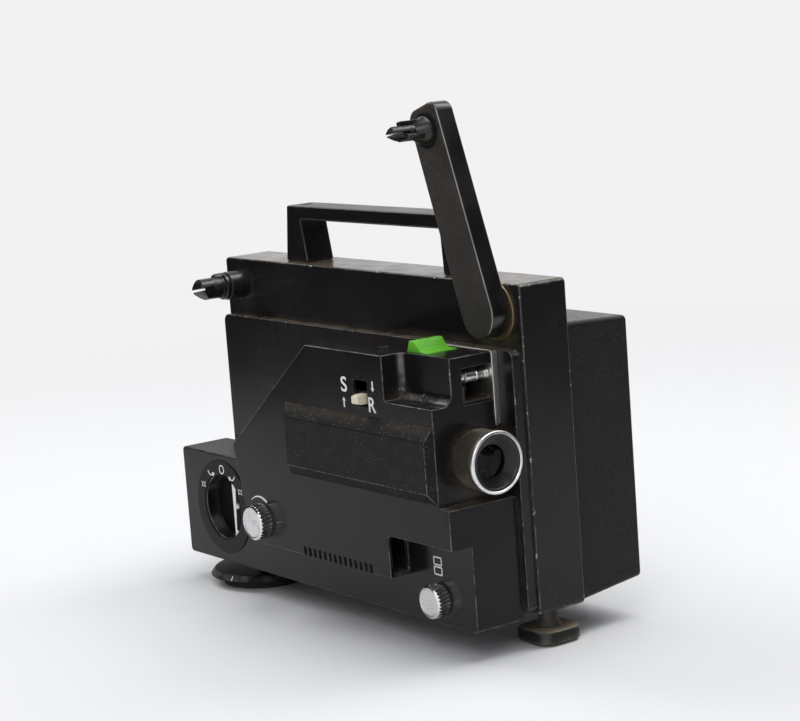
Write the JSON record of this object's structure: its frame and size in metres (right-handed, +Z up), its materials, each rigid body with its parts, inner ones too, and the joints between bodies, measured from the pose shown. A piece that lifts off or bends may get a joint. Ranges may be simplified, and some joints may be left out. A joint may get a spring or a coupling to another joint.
{
  "type": "movie projector",
  "caption": "Black small-gauge movie projector with folding supply arm, take-up spindle, zoom lens, fluted knobs, carrying handle and adjustable front foot.",
  "frame": {"origin": "middle of the object's outline on the table that its feet stand on", "axes": "+X along the lens axis towards the screen, +Y from the film side to the back, +Z up"},
  "size_m": [0.315, 0.1466, 0.3065],
  "materials": {
    "black_plastic": "satin moulded",
    "grained_plastic": "leather grained",
    "wrinkle_plastic": "wrinkle finish",
    "arm_plastic": "fine textured",
    "black_gloss": "smooth",
    "green_plastic": "smooth",
    "cream_plastic": "satin",
    "chrome": "polished",
    "steel": "drawn",
    "bright_plate": "worn",
    "brass": "worn",
    "rubber": "matt",
    "alloy": "cast",
    "iron": "varnished laminations",
    "lens_glass": "coated",
    "lamp_glass": "clear",
    "reflector": "polished",
    "ceramic": "unglazed"
  },
  "bodies": {
    "body": {"main_housing": "black_plastic", "rear_cover": "grained_plastic", "side_cover": "black_plastic", "base_casing": "black_plastic", "front_cover": "black_plastic", "lens_housing": "wrinkle_plastic", "carry_handle": "black_plastic", "handle_screws": "steel", "cover_screw": "steel", "lens_barrel": "black_gloss", "front_lens": "lens_glass", "rear_lens": "lens_glass", "film_guide_plate": "bright_plate", "film_pins": "steel", "dial_ring": "black_plastic", "arm_stud": "steel", "arm_washer": "brass", "takeup_bush": "black_plastic", "takeup_belt": "rubber", "rear_foot": "black_plastic", "rear_foot_pad": "rubber", "side_foot": "rubber", "motor": "alloy", "motor_bracket": "alloy", "drive_belt": "rubber", "gate_frame": "alloy", "aperture_plate": "steel", "lamp": "lamp_glass", "lamp_reflector": "reflector", "lamp_socket": "ceramic", "chassis_plate": "alloy", "transformer": "iron", "mains_inlet": "black_gloss"},
    "focus": {"focus_ring": "black_gloss", "lens_trim_ring": "chrome", "lens_bezel": "black_gloss"},
    "roller": {"guide_roller": "chrome"},
    "sprocket": {"film_sprocket": "alloy"},
    "button": {"thread_button": "green_plastic"},
    "lever": {"direction_lever": "cream_plastic"},
    "speed": {"speed_knob": "chrome"},
    "framing": {"framing_knob": "chrome"},
    "selector": {"selector_knob": "black_plastic"},
    "arm": {"supply_arm": "arm_plastic"},
    "supply": {"supply_spindle": "black_gloss"},
    "takeup": {"takeup_spindle": "black_gloss", "takeup_pulley": "black_gloss"},
    "foot": {"front_foot": "black_plastic", "front_foot_pad": "rubber"},
    "rotor": {"motor_shaft": "steel", "cooling_fan": "black_gloss", "motor_pulley": "black_gloss"},
    "shutter": {"shutter": "alloy", "shutter_shaft": "steel"},
    "cross_shaft": {"worm_wheel": "cream_plastic", "drive_shaft": "steel"},
    "gate_plate": {"pressure_plate": "steel"},
    "claw": {"claw": "steel"}
  },
  "joints": [
    {"name": "arm_fold", "type": "hinge", "parent": "body", "child": "arm", "pos_m": [0.1311, -0.01765, 0.19], "axis": [0, -1, 0], "range_deg": [0, 71]},
    {"name": "supply_spin", "type": "hinge", "parent": "arm", "child": "supply", "pos_m": [0.09695, -0.02965, 0.29088], "axis": [0, 1, 0], "continuous": true},
    {"name": "motor_spin", "type": "hinge", "parent": "body", "child": "rotor", "pos_m": [-0.0215, -0.0318, 0.056], "axis": [1, 0, 0], "continuous": true},
    {"name": "shutter_spin", "type": "hinge", "parent": "body", "child": "shutter", "pos_m": [0.0305, -0.03865, 0.0985], "axis": [1, 0, 0], "continuous": true},
    {"name": "cross_spin", "type": "hinge", "parent": "body", "child": "cross_shaft", "pos_m": [0.04651, -0.03865, 0.0821], "axis": [0, 1, 0], "continuous": true},
    {"name": "takeup_spin", "type": "hinge", "parent": "body", "child": "takeup", "pos_m": [-0.1293, -0.01565, 0.19], "axis": [0, 1, 0], "continuous": true},
    {"name": "sprocket_spin", "type": "hinge", "parent": "body", "child": "sprocket", "pos_m": [0.0835, -0.02965, 0.147], "axis": [0, 1, 0], "continuous": true},
    {"name": "roller_spin", "type": "hinge", "parent": "body", "child": "roller", "pos_m": [0.1315, -0.02965, 0.1574], "axis": [0, 1, 0], "continuous": true},
    {"name": "focus_turn", "type": "hinge", "parent": "body", "child": "focus", "pos_m": [0.1455, -0.03615, 0.1125], "axis": [1, 0, 0], "range_deg": [-60, 60]},
    {"name": "speed_turn", "type": "hinge", "parent": "body", "child": "speed", "pos_m": [-0.04149, -0.06965, 0.057], "axis": [0, -1, 0], "range_deg": [-135, 135]},
    {"name": "framing_turn", "type": "hinge", "parent": "body", "child": "framing", "pos_m": [0.1157, -0.05565, 0.0319], "axis": [0, -1, 0], "range_deg": [-60, 60]},
    {"name": "selector_turn", "type": "hinge", "parent": "body", "child": "selector", "pos_m": [-0.11145, -0.03965, 0.053], "axis": [0, -1, 0], "range_deg": [-60, 60]},
    {"name": "lever_slide", "type": "slide", "parent": "body", "child": "lever", "axis": [0, 0, 1], "range_m": [0, 0.007]},
    {"name": "button_press", "type": "slide", "parent": "body", "child": "button", "axis": [0, 0, -1], "range_m": [0, 0.003], "stiffness_N_per_m": 400},
    {"name": "foot_extend", "type": "slide", "parent": "body", "child": "foot", "axis": [0, 0, 1], "range_m": [-0.008, 0.008]},
    {"name": "plate_press", "type": "slide", "parent": "body", "child": "gate_plate", "axis": [1, 0, 0], "range_m": [0, 0.0015], "stiffness_N_per_m": 300},
    {"name": "claw_stroke", "type": "slide", "parent": "body", "child": "claw", "axis": [0, 0, 1], "range_m": [0, 0.0042]}
  ],
  "couplings": [
    {"joint": "motor_spin", "follows": "shutter_spin", "ratio": 1.5},
    {"joint": "cross_spin", "follows": "shutter_spin", "ratio": 0.055556},
    {"joint": "takeup_spin", "follows": "shutter_spin", "ratio": 0.055556},
    {"joint": "sprocket_spin", "follows": "shutter_spin", "ratio": 0.055556}
  ]
}
